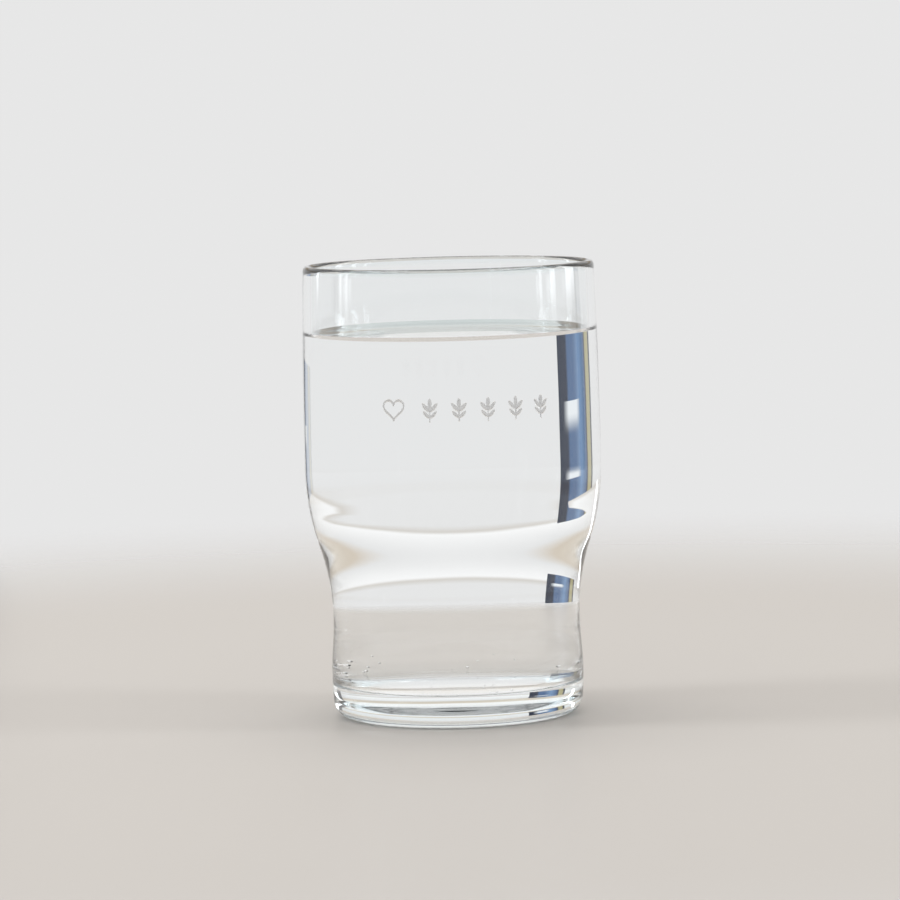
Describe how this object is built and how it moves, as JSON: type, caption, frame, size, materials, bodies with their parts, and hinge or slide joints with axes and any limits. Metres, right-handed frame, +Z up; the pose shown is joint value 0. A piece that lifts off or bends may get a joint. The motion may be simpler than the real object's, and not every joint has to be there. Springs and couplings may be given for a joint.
{
  "type": "stacking water tumbler",
  "caption": "Clear stacking drinking glass with a waisted lower half and a thick base, filled with still water, with a frosted engraved ornament on its wall.",
  "frame": {"origin": "centre of the bottom: the middle of the bearing ring that the glass stands on", "axes": "+Z up along the glass's axis of turning, towards the rim; -Y faces the engraved front"},
  "size_m": [0.0722, 0.0722, 0.11],
  "materials": {
    "glass": "polished, clear, with a faint cool tint at its edges",
    "water": "clear still water"
  },
  "bodies": {
    "root": {"glass_tumbler": "glass", "water": "water"}
  },
  "joints": []
}
